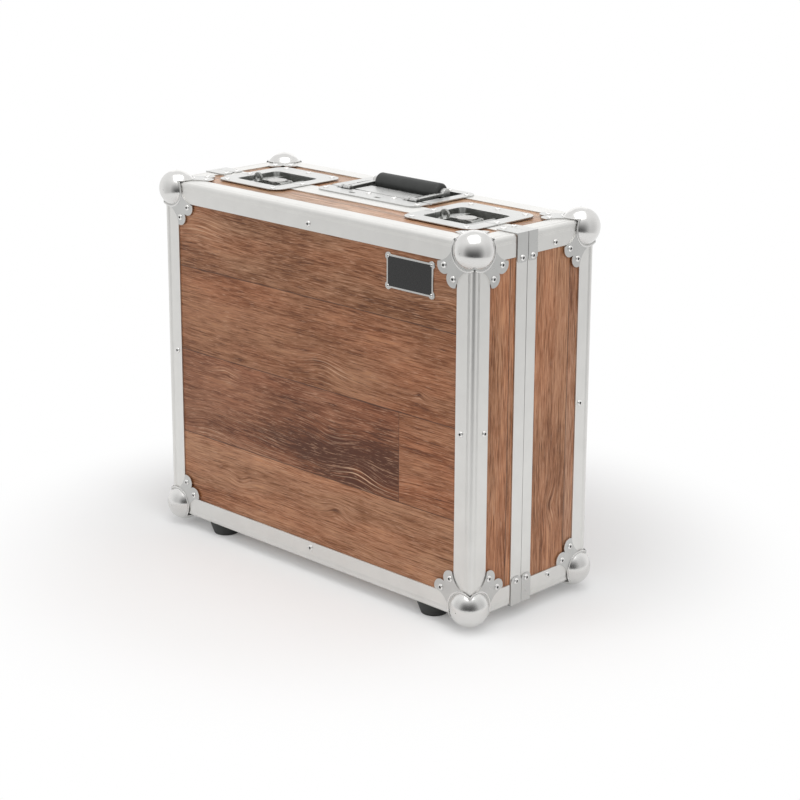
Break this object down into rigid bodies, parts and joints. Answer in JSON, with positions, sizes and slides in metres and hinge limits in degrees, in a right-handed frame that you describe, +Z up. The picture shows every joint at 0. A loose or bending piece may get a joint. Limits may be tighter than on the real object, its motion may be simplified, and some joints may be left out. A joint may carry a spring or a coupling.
{
  "type": "turntable hard case",
  "caption": "Upright hard case of wood-grain laminate panels in riveted metal edging, with ball corners, a hinged lid, recessed butterfly latches, a folding top handle and rubber feet",
  "frame": {"origin": "on the floor under the middle of the case, standing on its feet", "axes": "+X along the case's width, to the right as seen from the lid; +Y from the lid to the base shell; +Z up"},
  "size_m": [0.543, 0.225, 0.4648],
  "materials": {
    "laminate": "wood grain laminate on plywood, satin",
    "extrusion": "satin anodised extrusion with fine flutes",
    "corner_steel": "polished zinc plated pressed steel",
    "zinc_steel": "bright zinc plated pressed steel",
    "fasteners": "bright steel rivets, screws and pins",
    "foot_rubber": "matt black rubber",
    "grip_rubber": "matt black rubber",
    "foam": "dark grey open cell foam",
    "plate": "blank black plate with a bright raised rim"
  },
  "bodies": {
    "base": {"base_angle_bottom": "extrusion", "base_angle_left": "extrusion", "base_angle_right": "extrusion", "base_angle_top": "extrusion", "base_back_panel": "laminate", "base_ball_corner_bottom_left": "corner_steel", "base_ball_corner_bottom_right": "corner_steel", "base_ball_corner_top_left": "corner_steel", "base_ball_corner_top_right": "corner_steel", "base_bottom_panel": "laminate", "base_closing_corners": "corner_steel", "base_closing_frame": "extrusion", "base_depth_angles": "extrusion", "base_feet": "foot_rubber", "base_foam": "foam", "base_foot_screws": "fasteners", "base_hinge_leaves": "zinc_steel", "base_left_panel": "laminate", "base_right_panel": "laminate", "base_rivets": "fasteners", "base_top_panel": "laminate", "handle_dish": "zinc_steel", "handle_pins": "fasteners", "hinge_pins": "fasteners", "latch_l_base_dish": "zinc_steel", "latch_r_base_dish": "zinc_steel"},
    "lid": {"latch_l_lid_dish": "zinc_steel", "latch_r_lid_dish": "zinc_steel", "lid_angle_bottom": "extrusion", "lid_angle_left": "extrusion", "lid_angle_right": "extrusion", "lid_angle_top": "extrusion", "lid_ball_corner_bottom_left": "corner_steel", "lid_ball_corner_bottom_right": "corner_steel", "lid_ball_corner_top_left": "corner_steel", "lid_ball_corner_top_right": "corner_steel", "lid_bottom_panel": "laminate", "lid_closing_corners": "corner_steel", "lid_closing_frame": "extrusion", "lid_depth_angles": "extrusion", "lid_feet": "foot_rubber", "lid_foam": "foam", "lid_foot_screws": "fasteners", "lid_front_panel": "laminate", "lid_hinge_leaves": "zinc_steel", "lid_left_panel": "laminate", "lid_right_panel": "laminate", "lid_rivets": "fasteners", "lid_top_panel": "laminate", "name_plate": "plate"},
    "handle": {"handle_bail": "zinc_steel", "handle_grip": "grip_rubber"},
    "latch_l_rotor": {"latch_l_rotor": "zinc_steel"},
    "latch_l_hook": {"latch_l_hook": "zinc_steel"},
    "latch_l_wing_left": {"latch_l_wing_left": "zinc_steel"},
    "latch_l_wing_right": {"latch_l_wing_right": "zinc_steel"},
    "latch_r_rotor": {"latch_r_rotor": "zinc_steel"},
    "latch_r_hook": {"latch_r_hook": "zinc_steel"},
    "latch_r_wing_left": {"latch_r_wing_left": "zinc_steel"},
    "latch_r_wing_right": {"latch_r_wing_right": "zinc_steel"}
  },
  "joints": [
    {"name": "lid_hinge", "type": "hinge", "parent": "base", "child": "lid", "pos_m": [0, -0.0146, 0.0124], "axis": [1, 0, 0], "range_deg": [0, 105]},
    {"name": "handle_lift", "type": "hinge", "parent": "base", "child": "handle", "pos_m": [0, 0.016, 0.4524], "axis": [1, 0, 0], "range_deg": [0, 90], "stiffness_Nm_per_rad": 0.12, "springref_deg": -34.38},
    {"name": "latch_l_turn", "type": "hinge", "parent": "base", "child": "latch_l_rotor", "pos_m": [-0.159, -0.004, 0.445], "axis": [0, 0, 1], "range_deg": [0, 180]},
    {"name": "latch_l_hook_slide", "type": "slide", "parent": "base", "child": "latch_l_hook", "axis": [0, -0.6, 0.8], "range_m": [0, 0.00376]},
    {"name": "latch_l_fold_left", "type": "hinge", "parent": "latch_l_rotor", "child": "latch_l_wing_left", "pos_m": [-0.174, -0.004, 0.4476], "axis": [0, 1, 0], "range_deg": [0, 90]},
    {"name": "latch_l_fold_right", "type": "hinge", "parent": "latch_l_rotor", "child": "latch_l_wing_right", "pos_m": [-0.144, -0.004, 0.4476], "axis": [0, -1, 0], "range_deg": [0, 90]},
    {"name": "latch_r_turn", "type": "hinge", "parent": "base", "child": "latch_r_rotor", "pos_m": [0.159, -0.004, 0.445], "axis": [0, 0, 1], "range_deg": [0, 180]},
    {"name": "latch_r_hook_slide", "type": "slide", "parent": "base", "child": "latch_r_hook", "axis": [0, -0.6, 0.8], "range_m": [0, 0.00376]},
    {"name": "latch_r_fold_left", "type": "hinge", "parent": "latch_r_rotor", "child": "latch_r_wing_left", "pos_m": [0.144, -0.004, 0.4476], "axis": [0, 1, 0], "range_deg": [0, 90]},
    {"name": "latch_r_fold_right", "type": "hinge", "parent": "latch_r_rotor", "child": "latch_r_wing_right", "pos_m": [0.174, -0.004, 0.4476], "axis": [0, -1, 0], "range_deg": [0, 90]}
  ],
  "couplings": [
    {"joint": "latch_l_hook_slide", "follows": "latch_l_turn", "m_per_rad": 0.0011937},
    {"joint": "latch_r_hook_slide", "follows": "latch_r_turn", "m_per_rad": 0.0011937}
  ]
}
